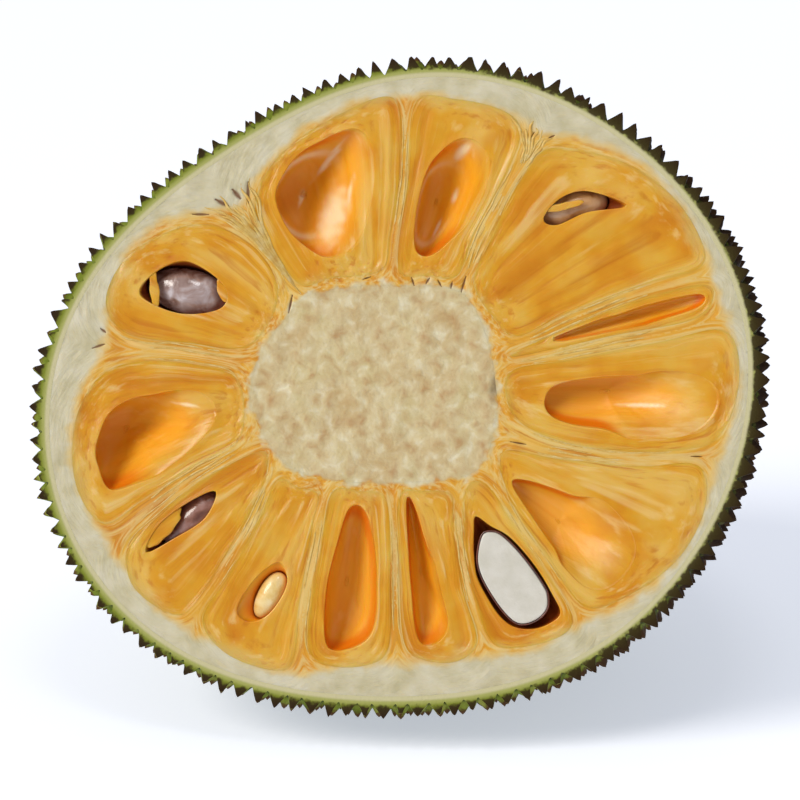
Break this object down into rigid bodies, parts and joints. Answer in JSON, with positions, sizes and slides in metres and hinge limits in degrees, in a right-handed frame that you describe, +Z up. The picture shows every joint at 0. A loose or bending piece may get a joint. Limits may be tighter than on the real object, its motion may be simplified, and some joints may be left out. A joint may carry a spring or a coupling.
{
  "type": "jackfruit half, cut across",
  "caption": "Half of a jackfruit cut across, with spiny green rind, pale pith, core, orange bulbs of flesh and seeds, resting on a small flat spot.",
  "frame": {"origin": "middle of the small flat spot under the rind that the fruit rests on", "axes": "+Z up; the cut face looks towards -Y and leans back 19 degrees from upright; +X to the right as one faces the cut"},
  "size_m": [0.2484, 0.2241, 0.2226],
  "materials": {
    "rind": "matt green skin with dark brown spine tips",
    "pith": "moist pale fibre",
    "core": "moist cream, lightly mottled",
    "flesh": "wet orange flesh, soft gloss",
    "cut_seed": "cut kernel, off-white",
    "seed_coat": "brown seed coat, damp sheen"
  },
  "bodies": {
    "root": {"rind": "rind", "pith": "pith", "core": "core", "bulb_01": "flesh", "bulb_02": "flesh", "bulb_03": "flesh", "bulb_04": "flesh", "bulb_05": "flesh", "bulb_06": "flesh", "bulb_07": "flesh", "bulb_08": "flesh", "bulb_09": "flesh", "bulb_10": "flesh", "bulb_11": "flesh", "bulb_12": "flesh", "bulb_13": "flesh", "seed_03": "seed_coat", "seed_07": "cut_seed", "seed_10": "seed_coat", "seed_11": "seed_coat", "seed_13": "seed_coat"}
  },
  "joints": []
}
